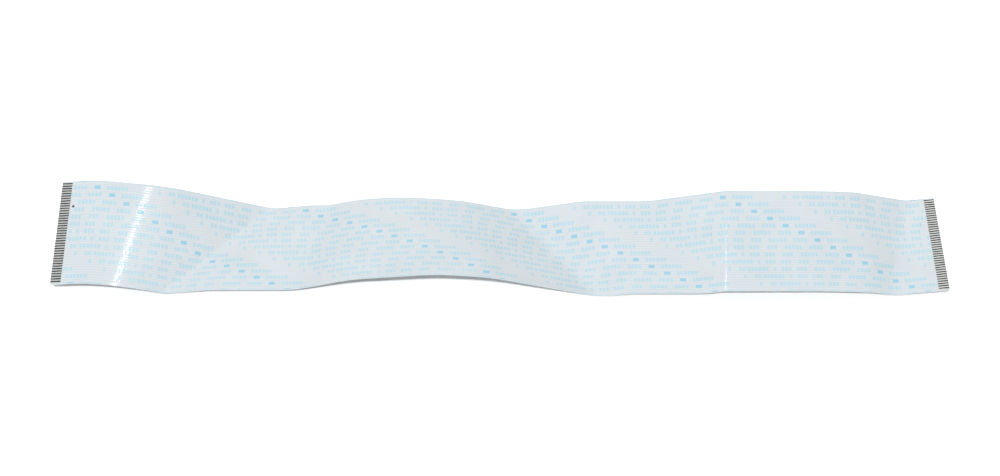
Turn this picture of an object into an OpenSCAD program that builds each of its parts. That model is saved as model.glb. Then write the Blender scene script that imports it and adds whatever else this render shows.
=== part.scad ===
// Flat flexible ribbon cable with bare contacts at both ends. Sizes are in millimetres.
//
// Forty flat tinned conductors lie side by side between a lower and an upper film. The upper
// film stops short of each end, so the conductors are bare there and face up. A thin strip
// stiffens each end from below. The cable lies in loose waves on a level floor: X runs along
// it, Y across it and Z up. It touches the floor at three points.

/* [Cable] */
// Length of the cable laid flat
cable_length = 300; // [200:1:500]
// Spacing of the conductors, centre to centre
conductor_pitch = 1; // [0.8:0.05:1.5]
// From the centre of an outer conductor to the edge of the cable
edge_margin = 1; // [0.6:0.05:2]

/* [Conductors] */
// Width of one flat conductor
conductor_width = 0.7; // [0.3:0.01:0.7]
// Thickness of one flat conductor
conductor_thickness = 0.1; // [0.05:0.01:0.2]

/* [Films] */
// Thickness of each film over the conductors
film_thickness = 0.08; // [0.04:0.01:0.2]
// Bare length of the conductors at each end
bare_length = 3.5; // [2:0.1:6]

/* [Stiffeners] */
// Length of the stiffening strip under each end
stiffener_length = 6; // [4:0.1:8]
// Thickness of the stiffening strip
stiffener_thickness = 0.15; // [0.05:0.01:0.4]

/* [Build] */
// Largest turn made at one crease, in degrees
crease_turn = 12; // [10:1:35]

/* [Hidden] */
conductor_count = 40;
cable_width = (conductor_count - 1) * conductor_pitch + 2 * edge_margin;
half_width = cable_width / 2;

// Room left all round where two layers are bonded
bond_gap = 0.01;
// Flat run kept clear of creases past each stiffener
end_room = 2;

// Levels above the middle of the conductors
conductor_top = conductor_thickness / 2;
conductor_foot = -conductor_top;
lower_film_top = conductor_foot - bond_gap;
lower_film_foot = lower_film_top - film_thickness;
upper_film_foot = lower_film_top + bond_gap;
channel_top = conductor_top + bond_gap;
upper_film_top = channel_top + film_thickness;
stiffener_top = lower_film_foot - bond_gap;
stiffener_foot = stiffener_top - stiffener_thickness;

// Each bend: place along the free run, lean of its creases across the cable in degrees,
// turn in degrees (positive turns down towards the right end), and how far it spreads.
route_run = 284;
bends = [
    [4, 1, 13, 10],
    [17, 12, 6, 8],
    [27, 11, 7, 12],
    [47, 40, -33, 5],
    [61, 39, 8, 6],
    [78, 14, -14, 14],
    [93, 2, 9, 12],
    [114, -16, 9, 15],
    [133, -13, 9, 15],
    [162, -35, -31, 12],
    [178, -20, 13, 15],
    [202, -23, -13, 9],
    [218, 4, 13, 9],
    [250, 0, 3, 12],
    [265, -5, 12, 9],
    [278, 12, -24, 10]
];
// Where it touches the floor: bend, crease within the bend, and edge (1 far, -1 near)
touches = [[3, 2, 1], [9, 1, 1], [9, 1, -1]];

flat_end = max(stiffener_length, bare_length) + end_room;
route_scale = (cable_length - 2 * flat_end) / route_run;

// The leans suit a strip of this half width; they ease on a wider or shorter one,
// so that neighbouring creases never cross at its edges
route_half_width = 20.5;
lean_scale = min(1, route_scale * route_half_width / half_width);

// Each crease: place along the middle line, lean, turn
function crease_total(bend) = ceil(abs(bend[2]) / crease_turn);
function crease_place(bend, part) = flat_end + route_scale * (bend[0] + bend[3] * part);
creases = [
    for (bend = bends)
        let (total = crease_total(bend))
            for (i = [0:total - 1])
                [
                    crease_place(bend, (i + 0.5) / total - 0.5),
                    atan(lean_scale * tan(bend[1])),
                    bend[2] / total
                ]
];
crease_count = len(creases);
last_ring = crease_count + 1;

// The turn about one crease, and the point where it crosses the middle line
function unit(v) = v / norm(v);
function axis(k) = [sin(creases[k][1]), cos(creases[k][1]), 0];
function turned(v, d, a) = v * cos(a) + cross(d, v) * sin(a) + d * (d * v) * (1 - cos(a));
function columns(x, y, z) = [[x[0], y[0], z[0]], [x[1], y[1], z[1]], [x[2], y[2], z[2]]];
function turn(k) = let (d = axis(k), a = creases[k][2])
    columns(turned([1, 0, 0], d, a), turned([0, 1, 0], d, a), turned([0, 0, 1], d, a));
function hinge(k) = [creases[k][0], 0, 0];

// Attitude and position of each flat facet, carried on from crease to crease
facets = [
    for (
        k = 0, r = columns([1, 0, 0], [0, 1, 0], [0, 0, 1]), t = [0, 0, 0];
        k <= crease_count;
        t = k < crease_count ? t + r * (hinge(k) - turn(k) * hinge(k)) : t,
        r = k < crease_count ? r * turn(k) : r,
        k = k + 1
    )
        [r, t]
];
function facet_spot(k, p) = facets[k][0] * p + facets[k][1];
function facet_up(k) = facets[k][0] * [0, 0, 1];

// Points on the joint between two facets keep their level over both of them
function joint_up(k) = let (a = facet_up(k), b = facet_up(k + 1)) (a + b) / (1 + a * b);
function joint_spot(k, y, z) =
    facet_spot(k, [creases[k][0] + y * tan(creases[k][1]), y, 0]) + z * joint_up(k);

// Ring 0 is at the start of a piece, the last ring at its end, the rest on the creases
function raw_spot(ring, start, end, y, z) =
    ring == 0 ? facet_spot(0, [start, y, z])
    : ring == last_ring ? facet_spot(crease_count, [end, y, z])
    : joint_spot(ring - 1, y, z);

// The floor passes under the three touching points
function creases_before(bend) =
    bend == 0 ? 0 : crease_total(bends[bend - 1]) + creases_before(bend - 1);
function touch_crease(touch) = creases_before(touch[0]) + min(touch[1], crease_total(bends[touch[0]]) - 1);
function touch_spot(i) =
    joint_spot(touch_crease(touches[i]), touches[i][2] * half_width, lower_film_foot);
floor_spot = touch_spot(0);
floor_cross = unit(cross(touch_spot(1) - floor_spot, touch_spot(2) - floor_spot));
floor_up = floor_cross[2] < 0 ? -floor_cross : floor_cross;
cable_run = facet_spot(crease_count, [cable_length, 0, 0]) - facet_spot(0, [0, 0, 0]);
floor_along = unit(cable_run - floor_up * (floor_up * cable_run));
floor_across = cross(floor_up, floor_along);
function level(p) = let (v = p - floor_spot) [v * floor_along, v * floor_across, v * floor_up];

// Centre the cable over the origin and stand it on the floor
outline = [
    for (y = [-half_width, half_width]) each concat(
        [for (ring = [0:last_ring]) level(raw_spot(ring, 0, cable_length, y, lower_film_foot))],
        [
            for (ring = [0:last_ring])
                level(raw_spot(ring, bare_length, cable_length - bare_length, y, upper_film_top))
        ],
        [for (x = [0, stiffener_length]) level(facet_spot(0, [x, y, stiffener_foot]))],
        [
            for (x = [0, stiffener_length])
                level(facet_spot(crease_count, [cable_length - x, y, stiffener_foot]))
        ]
    )
];
function lowest(i) = min([for (p = outline) p[i]]);
function highest(i) = max([for (p = outline) p[i]]);
shift = [-(lowest(0) + highest(0)) / 2, -(lowest(1) + highest(1)) / 2, -lowest(2)];
function spot(ring, start, end, y, z) = level(raw_spot(ring, start, end, y, z)) + shift;
function end_spot(k, x, y, z) = level(facet_spot(k, [x, y, z])) + shift;

function conductor_y(number) = (number - 1) * conductor_pitch - half_width + edge_margin;
function channel_left(number) = conductor_y(number) - conductor_width / 2 - bond_gap;
function channel_right(number) = conductor_y(number) + conductor_width / 2 + bond_gap;

/* Building blocks */

// Side walls between ring k and ring k + 1, for a section of m points; skips wall number gap
function walls(m, k, gap) = [
    for (i = [0:m - 1])
        if (i != gap)
            let (a = k * m + i, b = k * m + (i + 1) % m)
                each [[a, b, b + m], [a, b + m, a + m]]
];

// A plain strip with a rectangular section that follows every crease
module long_strip(left, right, foot, top) {
    section = [[left, foot], [right, foot], [right, top], [left, top]];
    points = [
        for (ring = [0:last_ring])
            for (p = section)
                spot(ring, 0, cable_length, p[0], p[1])
    ];
    faces = concat(
        [[3, 2, 1, 0]],
        [for (k = [0:last_ring - 1]) each walls(4, k, -1)],
        [[for (i = [0:3]) last_ring * 4 + i]]
    );
    polyhedron(points, faces, convexity = 6);
}

// A flat strip under one end, on facet k, from x = start to x = end
module end_strip(k, start, end) {
    section = [
        [-half_width, stiffener_foot],
        [half_width, stiffener_foot],
        [half_width, stiffener_top],
        [-half_width, stiffener_top]
    ];
    points = [
        for (x = [start, end])
            for (p = section)
                end_spot(k, x, p[0], p[1])
    ];
    faces = concat([[3, 2, 1, 0]], walls(4, 0, -1), [[4, 5, 6, 7]]);
    polyhedron(points, faces, convexity = 2);
}

/* Sub-parts */

module lower_film() {
    color("white")
        long_strip(-half_width, half_width, lower_film_foot, lower_film_top);
}

module conductor(number) {
    y = conductor_y(number);
    color("silver")
        long_strip(y - conductor_width / 2, y + conductor_width / 2, conductor_foot, conductor_top);
}

// The upper film has a channel over each conductor. Its section runs along the underside
// from left to right, in and out of the channels, and back along the top.
module upper_film() {
    start = bare_length;
    end = cable_length - bare_length;
    underside = [
        for (n = [1:conductor_count])
            each [
                [channel_left(n), upper_film_foot],
                [channel_left(n), channel_top],
                [channel_right(n), channel_top],
                [channel_right(n), upper_film_foot]
            ]
    ];
    section = concat(
        [[-half_width, upper_film_foot]],
        underside,
        [[half_width, upper_film_foot], [half_width, upper_film_top], [-half_width, upper_film_top]]
    );
    m = len(section);
    right_foot = m - 3;
    right_top = m - 2;
    left_top = m - 1;
    rings = [
        for (ring = [0:last_ring])
            for (p = section)
                spot(ring, start, end, p[0], p[1])
    ];
    // Further points along the top edge of each end face, one above each channel wall
    brim = [
        for (ring = [0, last_ring])
            for (n = [1:conductor_count])
                for (y = [channel_left(n), channel_right(n)])
                    spot(ring, start, end, y, upper_film_top)
    ];
    brim_start = len(rings);
    brim_size = 2 * conductor_count;
    last = last_ring * m;
    faces = concat(
        [for (k = [0:last_ring - 1]) each walls(m, k, (k == 0 || k == last_ring - 1) ? right_top : -1)],
        end_face(0, brim_start, m, false),
        end_face(last, brim_start + brim_size, m, true),
        brim_fan(0, m, brim_start, m, false),
        brim_fan(last, last - m, brim_start + brim_size, m, true)
    );
    color("white")
        polyhedron(concat(rings, brim), faces, convexity = 10);
}

// Keeps or reverses the order of the corners of a face
function faced(face, forward) = forward ? face : [for (i = [len(face) - 1:-1:0]) face[i]];

// Flat pieces that close one end of the upper film. Ring starts at point o, its brim at point b.
function end_face(o, b, m, forward) = concat(
    [faced([o, o + 1, o + 2, b, o + m - 1], forward)],
    [
        for (n = [0:conductor_count - 1])
            faced([o + 2 + 4 * n, o + 3 + 4 * n, b + 1 + 2 * n, b + 2 * n], forward)
    ],
    [
        for (n = [0:conductor_count - 2])
            each [
                faced([o + 4 + 4 * n, o + 5 + 4 * n, o + 6 + 4 * n, o + 3 + 4 * n], forward),
                faced([o + 3 + 4 * n, o + 6 + 4 * n, b + 2 + 2 * n, b + 1 + 2 * n], forward)
            ]
    ],
    [
        faced(
            [o + m - 3, o + m - 2, b + 2 * conductor_count - 1, o + m - 5, o + m - 4],
            forward
        )
    ]
);

// Top of the film beside an end face: triangles from one corner of the next ring to the brim
function brim_fan(o, next, b, m, forward) =
    let (
        rim = concat(
            [o + m - 1],
            [for (i = [0:2 * conductor_count - 1]) b + i],
            [o + m - 2]
        )
    )
        concat(
            [
                for (i = [0:len(rim) - 2])
                    faced([next + m - 1, rim[i], rim[i + 1]], forward)
            ],
            [faced([next + m - 1, o + m - 2, next + m - 2], forward)]
        );

module stiffener_left() {
    color("white")
        end_strip(0, 0, stiffener_length);
}

module stiffener_right() {
    color("white")
        end_strip(crease_count, cable_length - stiffener_length, cable_length);
}

function conductor_name(number) = str("conductor_", number < 10 ? "0" : "", number);

lower_film();
upper_film();
stiffener_left();
stiffener_right();
for (n = [1:conductor_count])
    conductor(n);
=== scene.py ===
import math

import bpy
import numpy as np
from mathutils import Matrix, Vector


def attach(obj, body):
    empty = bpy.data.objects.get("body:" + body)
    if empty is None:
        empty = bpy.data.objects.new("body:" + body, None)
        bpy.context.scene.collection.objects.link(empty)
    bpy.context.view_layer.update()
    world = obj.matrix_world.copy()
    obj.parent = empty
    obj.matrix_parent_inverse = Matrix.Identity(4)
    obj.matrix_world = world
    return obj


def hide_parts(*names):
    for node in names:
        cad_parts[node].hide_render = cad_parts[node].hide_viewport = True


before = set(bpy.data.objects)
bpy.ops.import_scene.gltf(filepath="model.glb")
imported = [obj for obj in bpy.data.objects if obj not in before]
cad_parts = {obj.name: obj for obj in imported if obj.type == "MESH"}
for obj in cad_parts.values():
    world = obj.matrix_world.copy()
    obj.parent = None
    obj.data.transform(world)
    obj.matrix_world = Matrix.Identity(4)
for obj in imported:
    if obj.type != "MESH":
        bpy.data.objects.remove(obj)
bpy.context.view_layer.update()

# ---------------------------------------------------------------- sizes, metres

LENGTH = 0.300
PITCH = 0.001
CONDUCTORS = 40
# From the edge of the film to the middle of the first conductor
MARGIN = 0.001
HALF_WIDTH = ((CONDUCTORS - 1) * PITCH + 2 * MARGIN) / 2
# The bare contacts, and the stiffeners under them, measured from each end
BARE = 0.0035
STIFFENER = 0.006

CONDUCTOR_WIDTH = 0.0007
CONDUCTOR_THICKNESS = 0.0001
FILM_THICKNESS = 0.00008
STIFFENER_THICKNESS = 0.00015
# Room left for the adhesive between two layers
BOND = 0.00001

# Levels above the middle of the conductors
CONDUCTOR_TOP = CONDUCTOR_THICKNESS / 2
CHANNEL_TOP = CONDUCTOR_TOP + BOND
UPPER_TOP = CHANNEL_TOP + FILM_THICKNESS
UPPER_FOOT = -CONDUCTOR_TOP
LOWER_TOP = -CONDUCTOR_TOP - BOND
LOWER_FOOT = LOWER_TOP - FILM_THICKNESS
STIFFENER_TOP = LOWER_FOOT - BOND
STIFFENER_FOOT = STIFFENER_TOP - STIFFENER_THICKNESS

# Between the conductors the upper film's top sinks by this much, and the lower film's foot
# rises by as much. Both are flat for RIDGE_HALF to each side of a conductor's middle, and
# slope over RIDGE_SLOPE.
FILM_DIP = 0.00002
RIDGE_HALF = 0.0002
RIDGE_SLOPE = 0.0003
# The upper film has a channel underneath for each conductor
CHANNEL_HALF = CONDUCTOR_WIDTH / 2 + BOND

# Each bend: place along the free run, lean of its creases in degrees,
# turn in degrees (positive turns down towards the right end), and spread
FLAT_END = 0.008
BENDS = [
    (0.004, 1, 13, 0.010),
    (0.017, 12, 6, 0.008),
    (0.027, 11, 7, 0.012),
    (0.047, 40, -33, 0.005),
    (0.061, 39, 8, 0.006),
    (0.078, 14, -14, 0.014),
    (0.093, 2, 9, 0.012),
    (0.114, -16, 9, 0.015),
    (0.133, -13, 9, 0.015),
    (0.162, -35, -31, 0.012),
    (0.178, -20, 13, 0.015),
    (0.202, -23, -13, 0.009),
    (0.218, 4, 13, 0.009),
    (0.250, 0, 3, 0.012),
    (0.265, -5, 12, 0.009),
    (0.278, 12, -24, 0.010),
]
# Where the cable touches the floor: a bend, one of its creases in the CAD model,
# and the edge (1 is the far one, -1 the near one)
TOUCHES = [(3, 2, 1), (9, 1, 1), (9, 1, -1)]
# The most that a crease of the CAD model turns, in degrees
COARSE_TURN = 12
# The most that this script's creases turn, in degrees, as the mean of a bend
FINE_TURN = 1.5
LEAST_CREASES = 6
# How far a bend's fine creases reach at most to each side of its middle, as a share of its
# spread
REACH = 0.53
# How much of the room between two bends may be used, and how much of that is kept
# for the neighbour that hasn't chosen yet
USED_ROOM = 0.94
KEPT_SHARE = 0.3
# How far a bend may run into the flat ends
END_OVERRUN = 0.0015

# ---------------------------------------------------------------- camera

CAMERA_ELEVATION = math.radians(44.6)
CAMERA_AZIMUTH = math.radians(-1.97)
CAMERA_ROLL = math.radians(1.45)
CAMERA_DISTANCE = 0.9413
CAMERA_TARGET = Vector((-0.00013, 0.00682, 0))
CAMERA_LENS = 100.26
CAMERA_SENSOR = 36
CAMERA_CLIP = (0.01, 20)


def make_camera():
    around = Matrix.Rotation(CAMERA_AZIMUTH, 3, "Z")
    rise, run = math.sin(CAMERA_ELEVATION), math.cos(CAMERA_ELEVATION)
    back = around @ Vector((0, -run, rise))
    level_right = around @ Vector((1, 0, 0))
    level_up = around @ Vector((0, rise, run))
    right = math.cos(CAMERA_ROLL) * level_right + math.sin(CAMERA_ROLL) * level_up
    up = math.cos(CAMERA_ROLL) * level_up - math.sin(CAMERA_ROLL) * level_right
    data = bpy.data.cameras.new("camera")
    data.sensor_width = CAMERA_SENSOR
    data.lens = CAMERA_LENS
    data.clip_start, data.clip_end = CAMERA_CLIP
    camera = bpy.data.objects.new("camera", data)
    bpy.context.collection.objects.link(camera)
    turn = Matrix((right, up, back)).transposed().to_4x4()
    camera.matrix_world = Matrix.Translation(CAMERA_TARGET + CAMERA_DISTANCE * back) @ turn
    bpy.context.scene.camera = camera


make_camera()

# ---------------------------------------------------------------- the lie of the strip


def coarse_creases():
    """The creases of the CAD model, as (place, lean, turn), and each bend's first crease."""
    creases = []
    first = []
    for place, lean, turn, spread in BENDS:
        total = math.ceil(abs(turn) / COARSE_TURN)
        first.append(len(creases))
        for i in range(total):
            along = FLAT_END + place + spread * ((i + 0.5) / total - 0.5)
            creases.append((along, math.radians(lean), math.radians(turn / total)))
    return creases, first


def edge_gap(a, b):
    """The least room between the middles of two neighbouring bends, at either edge."""
    lean = math.tan(math.radians(b[1])) - math.tan(math.radians(a[1]))
    return b[0] - a[0] - HALF_WIDTH * abs(lean)


def bend_reaches():
    """How far each bend may spread to either side. The strongest bends choose first."""
    wanted = [REACH * bend[3] for bend in BENDS]
    ends = (-END_OVERRUN, LENGTH - 2 * FLAT_END + END_OVERRUN)
    reach = {}
    for i in sorted(range(len(BENDS)), key=lambda n: -abs(BENDS[n][2])):
        place = BENDS[i][0]
        lean = HALF_WIDTH * abs(math.tan(math.radians(BENDS[i][1])))
        room = [wanted[i], place - lean - ends[0], ends[1] - place - lean]
        for j in (i - 1, i + 1):
            if 0 <= j < len(BENDS):
                gap = USED_ROOM * edge_gap(BENDS[min(i, j)], BENDS[max(i, j)])
                room.append(gap - reach.get(j, min(wanted[j], KEPT_SHARE * gap)))
        reach[i] = min(room)
    return reach


def fine_creases():
    """Each bend as many small creases, gentle at its two sides and firmer in its middle."""
    creases = []
    reach = bend_reaches()
    for i, (place, lean, turn, _) in enumerate(BENDS):
        total = max(LEAST_CREASES, math.ceil(abs(turn) / FINE_TURN))
        steps = (np.arange(total) + 0.5) / total * 2 - 1
        weights = 1 - steps**4
        for step, weight in zip(steps, weights / weights.sum()):
            along = FLAT_END + place + reach[i] * step
            creases.append((along, math.radians(lean), math.radians(turn) * weight))
    return creases


def walk(creases):
    """The attitude and position of each flat facet, carried on from crease to crease."""
    attitude = [np.eye(3)]
    position = [np.zeros(3)]
    for along, lean, turn in creases:
        axis = Vector((math.sin(lean), math.cos(lean), 0))
        fold = np.array(Matrix.Rotation(turn, 3, axis))
        hinge = np.array((along, 0, 0))
        position.append(position[-1] + attitude[-1] @ (hinge - fold @ hinge))
        attitude.append(attitude[-1] @ fold)
    return np.array(attitude), np.array(position)


class Strip:
    """A folded strip: turns a place along, a place across and a level into a point."""

    def __init__(self, creases):
        self.along = np.array([crease[0] for crease in creases])
        self.slope = np.tan([crease[1] for crease in creases])
        self.attitude, self.position = walk(creases)
        up = self.attitude[:, :, 2]
        cosine = (up[:-1] * up[1:]).sum(1)[:, None]
        self.joint_up = (up[:-1] + up[1:]) / (1 + cosine)
        self.turned = np.eye(3)
        self.moved = np.zeros(3)

    def place(self, points):
        return (points - self.moved) @ self.turned.T

    def facet(self, k, along, across, level):
        """Points in facet k; along, across and level may be arrays of one shape."""
        flat = np.stack(np.broadcast_arrays(along, across, level), -1)
        return self.place(flat @ self.attitude[k].T + self.position[k])

    def joint(self, k, across, level):
        """Points on crease k, which keep their level over both facets."""
        across, level = np.broadcast_arrays(np.asarray(across, float), level)
        along = self.along[k] + across * self.slope[k]
        flat = np.stack([along, across, np.zeros_like(along)], -1)
        raised = level[..., None] * self.joint_up[k]
        return self.place(flat @ self.attitude[k].T + self.position[k] + raised)

    def rings(self, start, end, across, level):
        """One section carried along the strip, with a ring at each end and on each crease."""
        first = self.facet(0, start, across, level)
        last = self.facet(len(self.along), end, across, level)
        between = [self.joint(k, across, level) for k in range(len(self.along))]
        return np.array([first, *between, last])

    def spot(self, along, across, level):
        """Any points on the strip, each in the facet that it falls in."""
        along, across, level = np.broadcast_arrays(along, across, level)
        lines = self.along + across[..., None] * self.slope
        k = (lines < along[..., None]).sum(-1)
        flat = np.stack([along, across, level], -1)
        turned = (self.attitude[k] @ flat[..., None])[..., 0]
        return self.place(turned + self.position[k])


def level_like_cad(fine):
    """Stands a strip as the CAD model stands, found from the CAD model's own creases."""
    creases, first = coarse_creases()
    coarse = Strip(creases)
    spots = [coarse.joint(first[b] + c, edge * HALF_WIDTH, LOWER_FOOT) for b, c, edge in TOUCHES]
    up = np.cross(spots[1] - spots[0], spots[2] - spots[0])
    up *= np.sign(up[2]) / np.linalg.norm(up)
    run = coarse.facet(len(creases), LENGTH, 0, 0) - coarse.facet(0, 0, 0, 0)
    along = run - up * (up @ run)
    along /= np.linalg.norm(along)
    turned = np.array([along, np.cross(up, along), up])
    coarse.turned = turned
    fine.turned = turned
    edges = np.array([-HALF_WIDTH, HALF_WIDTH])
    lower = coarse.rings(0, LENGTH, edges, LOWER_FOOT).reshape(-1, 3)
    upper = coarse.rings(BARE, LENGTH - BARE, edges, UPPER_TOP).reshape(-1, 3)
    box = np.concatenate([lower, upper])
    fine.moved = turned.T @ (box.min(0) + box.max(0)) / 2
    lowest = fine.rings(0, LENGTH, edges, LOWER_FOOT)[..., 2].min()
    fine.moved = fine.moved + turned.T @ np.array([0, 0, lowest])


strip = Strip(fine_creases())
level_like_cad(strip)
# A ring of points at each end, and one on each crease
RINGS = len(strip.along) + 2

# ---------------------------------------------------------------- mesh helpers

UV_NAME = "along_and_across"
# Metres to one unit of the UV map
UV_SCALE = 0.1
# An edge that turns by more than this stays sharp
SMOOTH_LIMIT = math.radians(35)


def new_piece(name, points, faces, material, uv=None):
    """A mesh piece of the cable. It rides on the cable's one body."""
    mesh = bpy.data.meshes.new(name)
    mesh.from_pydata(np.asarray(points).reshape(-1, 3).tolist(), [], faces)
    mesh.validate()
    mesh.update()
    mesh.shade_smooth()
    mesh.set_sharp_from_angle(angle=SMOOTH_LIMIT)
    mesh.materials.append(material)
    if uv is not None:
        layer = mesh.uv_layers.new(name=UV_NAME)
        corners = np.empty(len(mesh.loops), dtype=np.int32)
        mesh.loops.foreach_get("vertex_index", corners)
        layer.data.foreach_set("uv", np.asarray(uv).reshape(-1, 2)[corners].ravel())
    piece = bpy.data.objects.new(name, mesh)
    bpy.context.collection.objects.link(piece)
    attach(piece, "root")
    return piece


def tube_faces(rings, section):
    """The side walls of a closed section carried over many rings."""
    faces = []
    for r in range(rings - 1):
        here, there = r * section, (r + 1) * section
        for i in range(section):
            j = (i + 1) % section
            faces.append((here + i, there + i, there + j, here + j))
    return faces


def end_faces(rings, section):
    """One face across each end of a tube."""
    last = (rings - 1) * section
    return [tuple(range(section)), tuple(reversed(range(last, last + section)))]


def strip_uv(start, end, across):
    """Where each point lies along and across the flat strip, in units of UV_SCALE metres."""
    lines = strip.along[:, None] + across[None, :] * strip.slope[:, None]
    ends = [np.full((1, len(across)), start), lines, np.full((1, len(across)), end)]
    along = np.concatenate(ends)
    return np.stack([along, np.broadcast_to(across, along.shape)], -1) / UV_SCALE


def conductor_y(number):
    """The place across of a conductor's middle."""
    return number * PITCH - HALF_WIDTH + MARGIN


def dip(across):
    """How far a film's outer face draws in at a place across. Over a conductor it doesn't."""
    nearest = np.clip(np.round((across + HALF_WIDTH - MARGIN) / PITCH), 0, CONDUCTORS - 1)
    away = np.abs(across - conductor_y(nearest))
    part = np.clip((away - RIDGE_HALF) / RIDGE_SLOPE, 0, 1)
    return FILM_DIP * (0.5 - 0.5 * np.cos(math.pi * part))


def top_level(across):
    return UPPER_TOP - dip(across)


def places_across():
    """The films' points across: both edges, and the same seven around every conductor."""
    half = PITCH / 2
    between = (CHANNEL_HALF + half) / 2
    left = [-half, -between, -CHANNEL_HALF, -RIDGE_HALF]
    cell = np.array(left + [RIDGE_HALF, CHANNEL_HALF, between])
    cells = [conductor_y(number) + cell for number in range(CONDUCTORS)]
    return np.concatenate([[-HALF_WIDTH], *cells, [conductor_y(CONDUCTORS - 1) + half, HALF_WIDTH]])


ACROSS = places_across()
# Points of ACROSS to each conductor, and the two above the sides of the first one's channel
CELL_POINTS = 7
CELL_LEFT = 3
CELL_RIGHT = 6

# ---------------------------------------------------------------- materials

# Scales of the noise, to the metre, and of its three directions. Less along the cable draws
# it out that way.
CLOUDS = 90
GLOSS = 400
GLOSS_STRETCH = (0.25, 1, 1)
GRAIN = 2500
SCRATCHES = 9000
SCRATCH_STRETCH = (0.05, 1, 1)
RAGGED = 1500
RAGGED_STRETCH = (0.3, 1, 1)
NOISE_DETAIL = 3.0
SCRATCH_DETAIL = 2.0
# The two values of the noise between which a tone or a gloss changes
NOISE_LOW = 0.3
NOISE_HIGH = 0.7
# Strength and distance of the bump
GRAIN_BUMP = (0.15, 0.00002)
SCRATCH_BUMP = (0.2, 0.00001)
# How much painted shade darkens the film half-way between the conductors, in the dips between its
# ridges
GROOVE_PAINTED_SHADE = 0.07
# The tin: the share of noise in the line between its own tone and the painted shade, and where
# the two lie, with the across value and that noise added up
TIN_METALLIC = 0.5
TIN_ROUGHNESS = (0.34, 0.48)
RAGGED_SHARE = 0.5
TIN_TONE_BELOW = 0.53
PAINTED_SHADE_ABOVE = 0.63


def new_material(name):
    material = bpy.data.materials.new(name)
    material.use_nodes = True
    tree = material.node_tree
    return material, tree, tree.nodes["Principled BSDF"]


def add_noise(tree, scale, stretch=(1, 1, 1), detail=NOISE_DETAIL):
    where = tree.nodes.new("ShaderNodeTexCoord")
    mapping = tree.nodes.new("ShaderNodeMapping")
    mapping.inputs["Scale"].default_value = stretch
    noise = tree.nodes.new("ShaderNodeTexNoise")
    noise.inputs["Scale"].default_value = scale
    noise.inputs["Detail"].default_value = detail
    tree.links.new(where.outputs["Object"], mapping.inputs["Vector"])
    tree.links.new(mapping.outputs["Vector"], noise.inputs["Vector"])
    return noise.outputs["Fac"]


def add_across(tree):
    """The across value of a piece's UV map."""
    where = tree.nodes.new("ShaderNodeUVMap")
    where.uv_map = UV_NAME
    parts = tree.nodes.new("ShaderNodeSeparateXYZ")
    tree.links.new(where.outputs["UV"], parts.inputs["Vector"])
    return parts.outputs["Y"]


def add_math(tree, operation, value, number=None):
    node = tree.nodes.new("ShaderNodeMath")
    node.operation = operation
    tree.links.new(value, node.inputs[0])
    if number is not None:
        node.inputs[1].default_value = number
    return node.outputs["Value"]


def add_ramp(tree, factor, first, second):
    """A colour that runs from one to another. Each is given as (position, colour)."""
    ramp = tree.nodes.new("ShaderNodeValToRGB")
    for element, (position, color) in zip(ramp.color_ramp.elements, (first, second)):
        element.position = position
        element.color = (*color, 1)
    tree.links.new(factor, ramp.inputs["Fac"])
    return ramp.outputs["Color"]


def add_range(tree, factor, low, high, start=NOISE_LOW, end=NOISE_HIGH):
    """A value that runs from low to high while the factor runs from start to end."""
    spread = tree.nodes.new("ShaderNodeMapRange")
    spread.inputs["From Min"].default_value = start
    spread.inputs["From Max"].default_value = end
    spread.inputs["To Min"].default_value = low
    spread.inputs["To Max"].default_value = high
    tree.links.new(factor, spread.inputs["Value"])
    return spread.outputs["Result"]


def add_bump(tree, shader, height, strength, distance):
    bump = tree.nodes.new("ShaderNodeBump")
    bump.inputs["Strength"].default_value = strength
    bump.inputs["Distance"].default_value = distance
    tree.links.new(height, bump.inputs["Height"])
    tree.links.new(bump.outputs["Normal"], shader.inputs["Normal"])


def plastic(name, dark, light, rough):
    """Satin plastic or ink: a slight cloudiness, uneven gloss and a very fine surface grain."""
    material, tree, shader = new_material(name)
    tone = add_ramp(tree, add_noise(tree, CLOUDS), (NOISE_LOW, dark), (NOISE_HIGH, light))
    tree.links.new(tone, shader.inputs["Base Color"])
    gloss = add_noise(tree, GLOSS, GLOSS_STRETCH)
    tree.links.new(add_range(tree, gloss, *rough), shader.inputs["Roughness"])
    add_bump(tree, shader, add_noise(tree, GRAIN), *GRAIN_BUMP)
    return material


def paint_groove_shade(material, depth):
    """Paints shade on a material: darker by depth half-way between the conductors, in the dips
    between the film's ridges, and not at all over them.

    The wave starts at the middle of the cable, so the number of conductors has to be even.
    """
    tree = material.node_tree
    color = tree.nodes["Principled BSDF"].inputs["Base Color"]
    plain = color.links[0].from_socket
    angle = add_math(tree, "MULTIPLY", add_across(tree), 2 * math.pi * UV_SCALE / PITCH)
    wave = add_math(tree, "COSINE", angle)
    scaled = tree.nodes.new("ShaderNodeVectorMath")
    scaled.operation = "SCALE"
    tree.links.new(plain, scaled.inputs[0])
    tree.links.new(add_range(tree, wave, 1, 1 - depth, -1, 1), scaled.inputs["Scale"])
    tree.links.new(scaled.outputs["Vector"], color)


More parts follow.
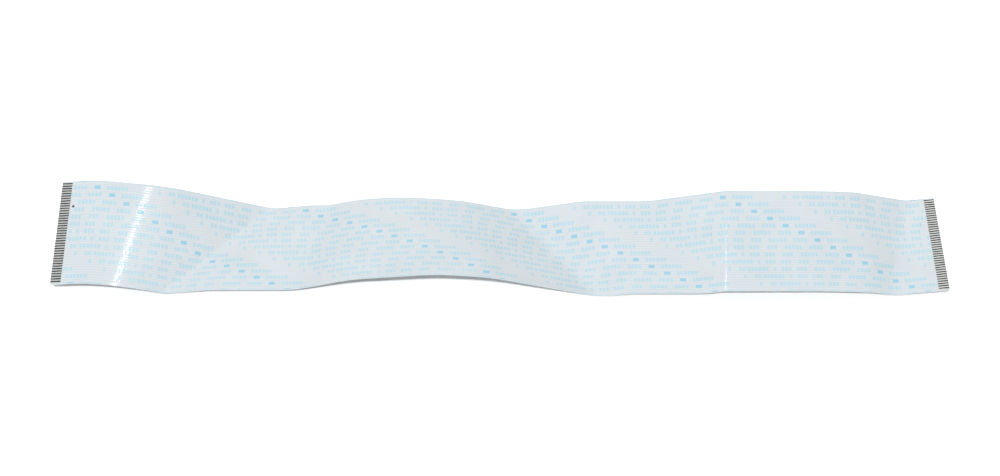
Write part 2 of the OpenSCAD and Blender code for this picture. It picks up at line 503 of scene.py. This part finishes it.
def tin_with_painted_shade(name, tin_tone, painted_shade_tone):
    """Tin in two tones: its own bright tone along the near side, then nearly black painted shade past
    a ragged line, finely scratched.
    """
    material, tree, shader = new_material(name)
    shader.inputs["Metallic"].default_value = TIN_METALLIC
    scratches = add_noise(tree, SCRATCHES, SCRATCH_STRETCH, SCRATCH_DETAIL)
    ragged = tree.nodes.new("ShaderNodeMath")
    ragged.operation = "MULTIPLY_ADD"
    ragged.inputs[1].default_value = RAGGED_SHARE
    tree.links.new(add_noise(tree, RAGGED, RAGGED_STRETCH), ragged.inputs[0])
    tree.links.new(add_across(tree), ragged.inputs[2])
    tone = add_ramp(tree, ragged.outputs["Value"], (TIN_TONE_BELOW, tin_tone), (PAINTED_SHADE_ABOVE, painted_shade_tone))
    tree.links.new(tone, shader.inputs["Base Color"])
    tree.links.new(add_range(tree, scratches, *TIN_ROUGHNESS), shader.inputs["Roughness"])
    add_bump(tree, shader, scratches, *SCRATCH_BUMP)
    return material


# Each plastic or ink has a dark and a light tone, and a range of roughness
film_white = plastic("film_white", (0.555, 0.60, 0.625), (0.58, 0.625, 0.65), (0.11, 0.15))
# Painted shade in stripes along the film, in the dips between the conductors
paint_groove_shade(film_white, GROOVE_PAINTED_SHADE)
stiffener_white = plastic("stiffener_white", (0.52, 0.55, 0.57), (0.57, 0.60, 0.62), (0.35, 0.45))
pale_ink = plastic("pale_ink", (0.375, 0.56, 0.63), (0.415, 0.585, 0.65), (0.18, 0.24))
blue_ink = plastic("blue_ink", (0.25, 0.50, 0.62), (0.29, 0.525, 0.645), (0.18, 0.24))
black_ink = plastic("black_ink", (0.008, 0.008, 0.009), (0.016, 0.016, 0.018), (0.45, 0.6))
# Tin: its own bright tone along each conductor's near side, and nearly black painted shade past a
# ragged line along its far side
tin = tin_with_painted_shade("tinned_copper", (0.60, 0.59, 0.53), (0.030, 0.028, 0.023))

# ---------------------------------------------------------------- lower film, the cord


def make_lower_film():
    foot = [(y, LOWER_FOOT + dip(y)) for y in ACROSS[::-1]]
    section = np.array([(-HALF_WIDTH, LOWER_TOP), (HALF_WIDTH, LOWER_TOP), *foot])
    across, level = section.T
    points = strip.rings(0, LENGTH, across, level)
    faces = tube_faces(RINGS, len(section)) + end_faces(RINGS, len(section))
    uv = strip_uv(0, LENGTH, across)
    film = new_piece("lower_film_strip", points, faces, film_white, uv)
    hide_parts("lower_film")
    return film


lower_film = make_lower_film()
middle_line = strip.rings(0, LENGTH, np.zeros(1), (LOWER_FOOT + LOWER_TOP) / 2)[:, 0]

# ---------------------------------------------------------------- upper film


def upper_section():
    """Over the top from the near edge to the far one, then back underneath, with the channels."""
    over = [(y, top_level(y)) for y in ACROSS]
    under = [(HALF_WIDTH, UPPER_FOOT)]
    for number in reversed(range(CONDUCTORS)):
        right = conductor_y(number) + CHANNEL_HALF
        left = conductor_y(number) - CHANNEL_HALF
        under += [(right, UPPER_FOOT), (right, CHANNEL_TOP), (left, CHANNEL_TOP), (left, UPPER_FOOT)]
    under.append((-HALF_WIDTH, UPPER_FOOT))
    return np.array(over + under)


def upper_end(total, base, flip):
    """An end of the upper film: a face over each channel, and one to either side of each.

    total is the number of points in a ring, and base is the number of the ring's first point.
    """
    faces = []
    foot, top, start = total - 1, [], 0
    for number in range(CONDUCTORS):
        channel = total - 2 - 4 * number
        left_foot, left_top, right_top, right_foot = range(channel, channel - 4, -1)
        low = CELL_POINTS * number + CELL_LEFT
        high = CELL_POINTS * number + CELL_RIGHT
        faces.append([left_top, right_top, *range(high, low - 1, -1)])
        faces.append([foot, left_foot, left_top, *range(low, start - 1, -1), *top])
        foot, top, start = right_foot, [right_top], high
    far = len(ACROSS)
    faces.append([foot, far, *range(far - 1, start - 1, -1), *top])
    if flip:
        faces = [list(reversed(face)) for face in faces]
    return [tuple(base + i for i in face) for face in faces]


def make_upper_film():
    section = upper_section()
    total = len(section)
    across, level = section.T
    points = strip.rings(BARE, LENGTH - BARE, across, level)
    faces = tube_faces(RINGS, total)
    faces += upper_end(total, 0, True)
    faces += upper_end(total, (RINGS - 1) * total, False)
    uv = strip_uv(BARE, LENGTH - BARE, across)
    film = new_piece("upper_film_strip", points, faces, film_white, uv)
    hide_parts("upper_film")


make_upper_film()

# ---------------------------------------------------------------- conductors

# The cut at each corner of a conductor's section
CONDUCTOR_CUT = 0.00003


def conductor_section():
    """A flat bar with its four corners cut, as (across, level)."""
    side = CONDUCTOR_WIDTH / 2
    top = CONDUCTOR_TOP
    inner_side = side - CONDUCTOR_CUT
    inner_top = top - CONDUCTOR_CUT
    near = [(-side, -inner_top), (-side, inner_top)]
    upper = [(-inner_side, top), (inner_side, top)]
    far = [(side, inner_top), (side, -inner_top)]
    lower = [(inner_side, -top), (-inner_side, -top)]
    return np.array(near + upper + far + lower)


def make_conductor(number):
    """One conductor. Its UV's across value runs from 0 at its near side to 1 at its far side."""
    section = conductor_section()
    across = conductor_y(number) + section[:, 0]
    points = strip.rings(0, LENGTH, across, section[:, 1])
    faces = tube_faces(RINGS, len(section)) + end_faces(RINGS, len(section))
    uv = strip_uv(0, LENGTH, across)
    uv[..., 1] = section[:, 0] / CONDUCTOR_WIDTH + 0.5
    piece = new_piece(f"conductor_strip_{number + 1:02d}", points, faces, tin, uv)
    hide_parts(f"conductor_{number + 1:02d}")


for number in range(CONDUCTORS):
    make_conductor(number)

# ---------------------------------------------------------------- stiffeners

# The rounding of the plate's edges, and of its corners seen from above
PLATE_ROUND = 0.00004
PLATE_CORNER = 0.0004
CORNER_STEPS = 6
# Where the middle point of a rounded edge lies, as a share of its rounding
ROUND_MIDDLE = 0.3


def plate_loop(low, high, inset, level):
    """The outline of a plate with round corners, drawn in by inset."""
    side = HALF_WIDTH - PLATE_CORNER
    left, right = low + PLATE_CORNER, high - PLATE_CORNER
    reach = PLATE_CORNER - inset
    loop = []
    for quarter, (x, y) in enumerate([(right, side), (left, side), (left, -side), (right, -side)]):
        for step in range(CORNER_STEPS + 1):
            angle = math.radians(90) * (quarter + step / CORNER_STEPS)
            loop.append((x + reach * math.cos(angle), y + reach * math.sin(angle), level))
    return loop


def make_stiffener(name, node, low, high, facet):
    """A thin plate with rounded edges, under the flat facet at one end."""
    part = ROUND_MIDDLE * PLATE_ROUND
    profile = [
        (PLATE_ROUND, STIFFENER_FOOT),
        (part, STIFFENER_FOOT + part),
        (0, STIFFENER_FOOT + PLATE_ROUND),
        (0, STIFFENER_TOP - PLATE_ROUND),
        (part, STIFFENER_TOP - part),
        (PLATE_ROUND, STIFFENER_TOP),
    ]
    flat = np.array([plate_loop(low, high, inset, level) for inset, level in profile])
    points = strip.facet(facet, flat[..., 0], flat[..., 1], flat[..., 2])
    loops, count = flat.shape[:2]
    walls = tube_faces(loops, count) + end_faces(loops, count)
    faces = [tuple(reversed(face)) for face in walls]
    piece = new_piece(name, points, faces, stiffener_white)
    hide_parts(node)


make_stiffener("left_stiffener_plate", "stiffener_left", 0, STIFFENER, 0)
make_stiffener("right_stiffener_plate", "stiffener_right", LENGTH - STIFFENER, LENGTH, RINGS - 2)

# ---------------------------------------------------------------- plain printed marks

ROWS = 15
ROW_GAP = 0.00295
# The middle of the first row lies just past the far edge, so only a sliver of it shows
FIRST_ROW = HALF_WIDTH + 0.00025
# How much further along each row starts than the one before, and the length of one repeat
ROW_SHIFT = 0.0051
PERIOD = 0.0715
REPEATS = range(-2, 5)
# Where the first row's mark starts
FIRST_MARK = 0.0060
MARK_WIDTH = 0.002
MARK_HEIGHT = 0.0014
BAR_WIDTH = 0.00085
BAR_GAP = 0.00122
BAR_HEIGHT = 0.0015
# Groups of plain bars after each mark: where the first one starts, and how many there are
GROUPS = [
    (0.0042, 6),
    (0.0214, 1),
    (0.0249, 2),
    (0.0279, 6),
    (0.0365, 1),
    (0.0392, 3),
    (0.0443, 3),
    (0.0503, 3),
    (0.0563, 5),
    (0.0645, 4),
]
# Ink stands this far above the film, and reaches as far into it
INK = 0.000008
# Print stops this far from the film's ends and edges
PRINT_END = BARE + 0.0002
PRINT_EDGE = HALF_WIDTH - 0.00015
# A block cut shorter or narrower than this is left out
LEAST_BLOCK = 0.0002
# The longest step along a block
BLOCK_STEP = 0.00045
# A block takes up the film's points across that lie further than this inside its sides
LEAST_STEP = 0.00002

DOT_PLACE = (0.00463, 0.0102)
DOT_RADIUS = 0.00045
DOT_SIDES = 24
# Rings of the dot, as a share of its radius and a height in inks. The last closes it below.
DOT_RINGS = [(0.35, 2), (0.7, 2), (0.93, 2), (1.0, -1), (0.5, -2)]


def block_rim(columns, rows):
    """The points round a grid of columns and rows, in order."""
    near = [c * rows for c in range(columns)]
    right = [(columns - 1) * rows + r for r in range(1, rows)]
    far = [c * rows + rows - 1 for c in reversed(range(columns - 1))]
    left = list(reversed(range(1, rows - 1)))
    return near + right + far + left


class Blocks:
    """Many thin plain blocks that follow the ridges and bends of the upper film."""

    def __init__(self):
        self.points = []
        self.faces = []

    def add(self, left, right, near, far):
        left, right = max(left, PRINT_END), min(right, LENGTH - PRINT_END)
        near, far = max(near, -PRINT_EDGE), min(far, PRINT_EDGE)
        if min(right - left, far - near) < LEAST_BLOCK:
            return
        columns = max(2, math.ceil((right - left) / BLOCK_STEP) + 1)
        along = np.linspace(left, right, columns)
        inside = ACROSS[(ACROSS > near + LEAST_STEP) & (ACROSS < far - LEAST_STEP)]
        across = np.concatenate([[near], inside, [far]])
        self.add_grid(along, across)

    def add_grid(self, along, across):
        """A block whose top and bottom have a point at each place along and across."""
        columns, rows = len(along), len(across)
        upper = sum(len(points) for points in self.points)
        lower = upper + columns * rows
        along, across = np.meshgrid(along, across, indexing="ij")
        for height in (INK, -INK):
            points = strip.spot(along, across, top_level(across) + height)
            self.points.append(points.reshape(-1, 3))
        for c in range(columns - 1):
            for r in range(rows - 1):
                a, b = c * rows + r, (c + 1) * rows + r
                self.faces.append((upper + a, upper + b, upper + b + 1, upper + a + 1))
                self.faces.append((lower + a + 1, lower + b + 1, lower + b, lower + a))
        rim = block_rim(columns, rows)
        for here, there in zip(rim, rim[1:] + rim[:1]):
            self.faces.append((lower + here, lower + there, upper + there, upper + here))

    def piece(self, name, material):
        new_piece(name, np.concatenate(self.points), self.faces, material)


def print_rows():
    """Rows of bars, each row further along than the one before, with one block to each repeat."""
    marks = Blocks()
    for row in range(ROWS):
        bars = Blocks()
        middle = FIRST_ROW - row * ROW_GAP
        for repeat in REPEATS:
            start = FIRST_MARK + row * ROW_SHIFT + repeat * PERIOD
            marks.add(start, start + MARK_WIDTH, middle - MARK_HEIGHT / 2, middle + MARK_HEIGHT / 2)
            for offset, count in GROUPS:
                for i in range(count):
                    left = start + offset + i * BAR_GAP
                    bars.add(left, left + BAR_WIDTH, middle - BAR_HEIGHT / 2, middle + BAR_HEIGHT / 2)
        bars.piece(f"printed_bars_{row + 1:02d}", pale_ink)
    marks.piece("printed_blocks", blue_ink)


def print_dot():
    """A small round spot of ink that follows the film."""
    angle = 2 * math.pi * np.arange(DOT_SIDES) / DOT_SIDES
    along, across, height = [[DOT_PLACE[0]], [DOT_PLACE[1]], [2 * INK]]
    for share, inks in DOT_RINGS:
        along = np.concatenate([along, DOT_PLACE[0] + share * DOT_RADIUS * np.cos(angle)])
        across = np.concatenate([across, DOT_PLACE[1] + share * DOT_RADIUS * np.sin(angle)])
        height = np.concatenate([height, np.full(DOT_SIDES, inks * INK)])
    points = strip.spot(along, across, top_level(across) + height)
    middle = [(0, 1 + i, 1 + (i + 1) % DOT_SIDES) for i in range(DOT_SIDES)]
    rings = [tuple(1 + i for i in face) for face in tube_faces(len(DOT_RINGS), DOT_SIDES)]
    last = 1 + (len(DOT_RINGS) - 1) * DOT_SIDES
    under = tuple(reversed(range(last, last + DOT_SIDES)))
    new_piece("printed_dot", points, [*middle, *rings, under], black_ink)


print_rows()
print_dot()

# ---------------------------------------------------------------- floor and light

FLOOR_HALF = 6.0
FLOOR_CLOUDS = 3
FLOOR_DARK = (0.94, 0.94, 0.94)
FLOOR_LIGHT = (0.97, 0.97, 0.97)
FLOOR_ROUGHNESS = 0.9
FLOOR_GLOW = 0.045

WORLD_COLOR = (0.96, 0.98, 1.0, 1)
WORLD_STRENGTH = 0.2

# The front light shines from in front of the cable, this steeply and a little from the left
FRONT_POWER = 2.85
FRONT_ANGLE = math.radians(4)
FRONT_RISE = math.radians(51.5)
FRONT_LEFT = 0.05

LAMP_POWER = 0.9
LAMP_SIZE = 0.036
LAMP_PLACE = (0.08, 0.28, 1.12)
LAMP_TARGET = (-0.12, 0, 0)

BOX_POWER = 10.6
BOX_SIZE = 0.8
BOX_PLACE = (-0.1, 1.0, 0.85)

SIDE_POWER = 0.3
SIDE_SIZE = 0.4
SIDE_PLACE = (-0.55, -0.2, 0.6)
SIDE_TARGET = (-0.1, 0, 0)


def make_floor():
    mesh = bpy.data.meshes.new("floor")
    half = FLOOR_HALF
    corners = [(-half, -half, 0), (half, -half, 0), (half, half, 0), (-half, half, 0)]
    mesh.from_pydata(corners, [], [(0, 1, 2, 3)])
    floor = bpy.data.objects.new("floor", mesh)
    bpy.context.collection.objects.link(floor)
    material, tree, shader = new_material("floor_white")
    clouds = add_noise(tree, FLOOR_CLOUDS)
    tone = add_ramp(tree, clouds, (NOISE_LOW, FLOOR_DARK), (NOISE_HIGH, FLOOR_LIGHT))
    tree.links.new(tone, shader.inputs["Base Color"])
    shader.inputs["Roughness"].default_value = FLOOR_ROUGHNESS
    shader.inputs["Emission Color"].default_value = (1, 1, 1, 1)
    shader.inputs["Emission Strength"].default_value = FLOOR_GLOW
    mesh.materials.append(material)


def make_world():
    world = bpy.data.worlds.new("studio")
    world.use_nodes = True
    back = world.node_tree.nodes["Background"]
    back.inputs["Color"].default_value = WORLD_COLOR
    back.inputs["Strength"].default_value = WORLD_STRENGTH
    bpy.context.scene.world = world


def add_light(name, kind, power, place, target=(0, 0, 0)):
    data = bpy.data.lights.new(name, kind)
    data.energy = power
    light = bpy.data.objects.new(name, data)
    bpy.context.collection.objects.link(light)
    light.location = place
    light.rotation_mode = "QUATERNION"
    light.rotation_quaternion = (Vector(target) - Vector(place)).to_track_quat("-Z", "Y")
    return light


def make_lights():
    """A light above the camera, a small lamp that draws the highlight, and two soft fills.

    The fills light the film but aren't mirrored in it.
    """
    from_front = (-FRONT_LEFT, -math.cos(FRONT_RISE), math.sin(FRONT_RISE))
    front = add_light("front", "SUN", FRONT_POWER, from_front)
    front.data.angle = FRONT_ANGLE
    lamp = add_light("overhead_lamp", "AREA", LAMP_POWER, LAMP_PLACE, LAMP_TARGET)
    lamp.data.shape = "DISK"
    lamp.data.size = LAMP_SIZE
    box = add_light("soft_box", "AREA", BOX_POWER, BOX_PLACE)
    box.data.size = BOX_SIZE
    side = add_light("soft_side", "AREA", SIDE_POWER, SIDE_PLACE, SIDE_TARGET)
    side.data.size = SIDE_SIZE
    for fill in (box, side):
        fill.data.shape = "SQUARE"
        fill.visible_glossy = False


def set_view():
    view = bpy.context.scene.view_settings
    view.view_transform = "Standard"
    view.look = "None"
    view.exposure = 0
    view.gamma = 1


make_floor()
make_world()
make_lights()
set_view()
